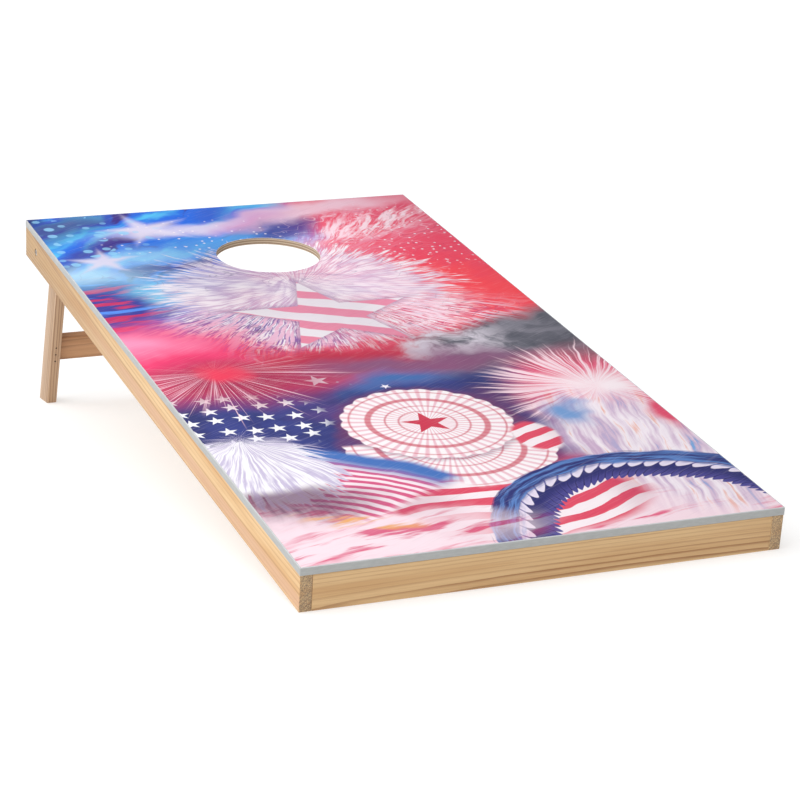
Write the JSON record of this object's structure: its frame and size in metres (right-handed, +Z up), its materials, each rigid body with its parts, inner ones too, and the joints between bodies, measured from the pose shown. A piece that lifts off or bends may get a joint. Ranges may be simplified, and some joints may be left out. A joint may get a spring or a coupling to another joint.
{
  "type": "cornhole board",
  "caption": "Cornhole board: a printed plywood deck with a round bag hole on a pine frame, raised at the back by a folding leg frame.",
  "frame": {"origin": "on the ground under the middle of the board's bounding box, with the legs open", "axes": "+Z up, +Y towards the raised back end with the bag hole, +X to the thrower's right"},
  "size_m": [0.6096, 1.2904, 0.2926],
  "materials": {
    "plywood": "raw sanded plywood with open edge layers at the hole",
    "printed_film": "satin printed film in red, white and blue",
    "edge_band": "satin grey edge band",
    "pine": "planed clear-coated pine",
    "darker_pine": "planed pine of a browner board",
    "zinc_steel": "zinc plated steel",
    "nail_steel": "dark bright-drawn nail wire"
  },
  "bodies": {
    "board": {"back_rail": "pine", "back_rail_nail_left_lower": "nail_steel", "back_rail_nail_left_upper": "nail_steel", "back_rail_nail_right_lower": "nail_steel", "back_rail_nail_right_upper": "nail_steel", "brace_screw_left": "zinc_steel", "brace_screw_right": "zinc_steel", "centre_brace": "pine", "corner_block_left": "pine", "corner_block_right": "pine", "corner_screw_left_front_lower": "zinc_steel", "corner_screw_left_front_upper": "zinc_steel", "corner_screw_left_side_lower": "zinc_steel", "corner_screw_left_side_upper": "zinc_steel", "corner_screw_right_front_lower": "zinc_steel", "corner_screw_right_front_upper": "zinc_steel", "corner_screw_right_side_lower": "zinc_steel", "corner_screw_right_side_upper": "zinc_steel", "deck_panel": "plywood", "edge_band_back": "edge_band", "edge_band_front": "edge_band", "edge_band_left": "edge_band", "edge_band_right": "edge_band", "front_rail": "pine", "leg_block_left": "pine", "leg_block_right": "pine", "leg_block_screw_left_back": "zinc_steel", "leg_block_screw_left_front": "zinc_steel", "leg_block_screw_right_back": "zinc_steel", "leg_block_screw_right_front": "zinc_steel", "lock_nut_left": "zinc_steel", "lock_nut_right": "zinc_steel", "nut_washer_left": "zinc_steel", "nut_washer_right": "zinc_steel", "pivot_bolt_left": "zinc_steel", "pivot_bolt_right": "zinc_steel", "printed_film": "printed_film", "side_rail_left": "pine", "side_rail_right": "pine", "spacer_washer_left": "zinc_steel", "spacer_washer_right": "zinc_steel"},
    "leg_frame": {"leg_crossbar": "darker_pine", "leg_left": "pine", "leg_nail_left_lower": "nail_steel", "leg_nail_left_middle": "nail_steel", "leg_nail_left_upper": "nail_steel", "leg_nail_right_lower": "nail_steel", "leg_nail_right_middle": "nail_steel", "leg_nail_right_upper": "nail_steel", "leg_right": "pine"}
  },
  "joints": [
    {"name": "leg_fold", "type": "hinge", "parent": "board", "child": "leg_frame", "pos_m": [0, 0.49852, 0.25015], "axis": [-1, 0, 0], "range_deg": [0, 105]}
  ]
}
